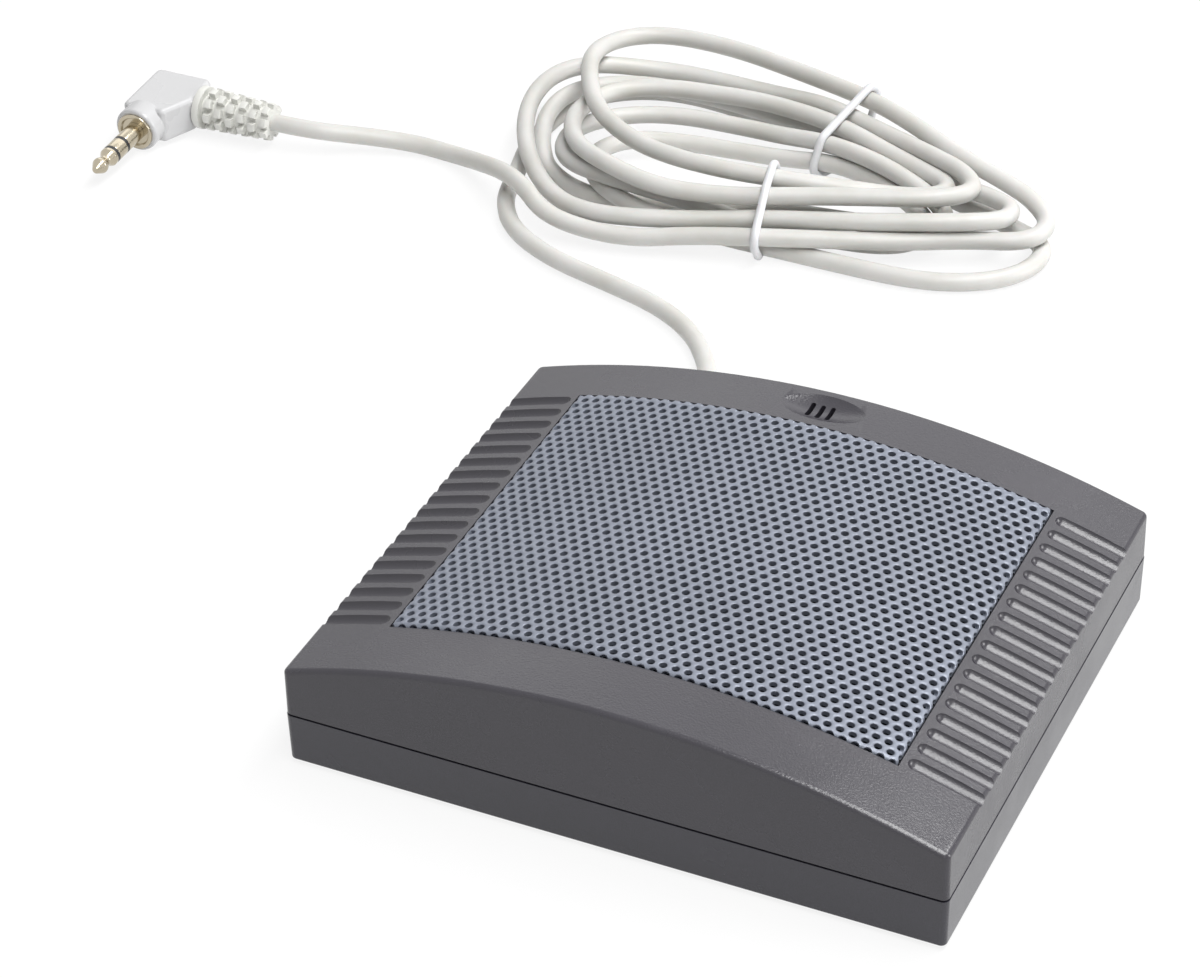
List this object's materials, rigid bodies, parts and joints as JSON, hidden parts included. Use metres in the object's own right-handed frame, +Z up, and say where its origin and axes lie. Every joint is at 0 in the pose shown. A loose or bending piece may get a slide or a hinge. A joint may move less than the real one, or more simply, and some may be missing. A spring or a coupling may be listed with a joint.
{
  "type": "teller window intercom",
  "caption": "Low arched desk unit of a window intercom, with a perforated loudspeaker grille, a slotted microphone port, ribbed flanks, and a tied white cord ending in a right-angle jack plug.",
  "frame": {"origin": "middle of the housing on the surface its feet stand on", "axes": "+X to the right along the front edge, +Y to the rear where the cord leaves, +Z up"},
  "size_m": [0.214, 0.2052, 0.0256],
  "materials": {
    "cover_plastic": "fine spark-eroded texture, dark warm grey",
    "grille_paint": "satin blue-grey powder coat",
    "cloth_black": "black acoustic cloth",
    "speaker_steel": "zinc-plated pressed steel",
    "magnet_ferrite": "ground ferrite",
    "cone_paper": "pressed paper",
    "coil_copper": "enamelled copper wire on a former",
    "soft_black": "moulded rubber",
    "spider_cloth": "resin-dipped cloth",
    "laminate": "green lacquered laminate",
    "terminal_board": "phenolic board",
    "component_black": "moulded component bodies",
    "header_plastic": "natural nylon",
    "mic_can": "drawn can",
    "wire_jacket": "thin insulated wire",
    "screw_steel": "zinc-plated steel",
    "cord_white": "soft satin PVC, slightly yellowed white",
    "tie_white": "satin coated wire",
    "plug_white": "satin moulded PVC",
    "jack_metal": "nickel plate, slightly warm",
    "jack_bands": "black insulating bands"
  },
  "bodies": {
    "housing": {"acoustic_cloth": "cloth_black", "base_shell": "cover_plastic", "board_capacitors": "component_black", "board_chip": "component_black", "board_screws": "screw_steel", "cable_tie_front": "tie_white", "cable_tie_rear": "tie_white", "circuit_board": "laminate", "clamp_screws": "screw_steel", "coil_spider": "spider_cloth", "cone_surround": "soft_black", "cord_clamp": "header_plastic", "cord_grommet": "cord_white", "cord_hank": "cord_white", "cord_inner": "cord_white", "cord_lead": "cord_white", "cord_tail": "cord_white", "cord_wires": "wire_jacket", "grille_panel": "grille_paint", "housing_screws": "screw_steel", "mic_boot": "soft_black", "mic_capsule": "mic_can", "mic_leads": "wire_jacket", "plug_body": "plug_white", "plug_collar": "jack_metal", "plug_insulators": "jack_bands", "plug_ring": "jack_metal", "plug_sleeve": "jack_metal", "plug_strain_relief": "plug_white", "plug_tip": "jack_metal", "rubber_feet": "soft_black", "speaker_basket": "speaker_steel", "speaker_gasket": "cone_paper", "speaker_leads": "wire_jacket", "speaker_magnet": "magnet_ferrite", "speaker_screws": "screw_steel", "speaker_terminals": "terminal_board", "speaker_top_plate": "speaker_steel", "speaker_yoke": "speaker_steel", "top_cover": "cover_plastic", "wire_header": "header_plastic"},
    "cone": {"speaker_cone": "cone_paper", "dust_cap": "cone_paper", "voice_coil": "coil_copper"}
  },
  "joints": [
    {"name": "cone_travel", "type": "slide", "parent": "housing", "child": "cone", "axis": [0, 0, 1], "range_m": [-0.0008, 0.0008], "stiffness_N_per_m": 1500, "deforming": ["cone_surround", "coil_spider"]}
  ]
}
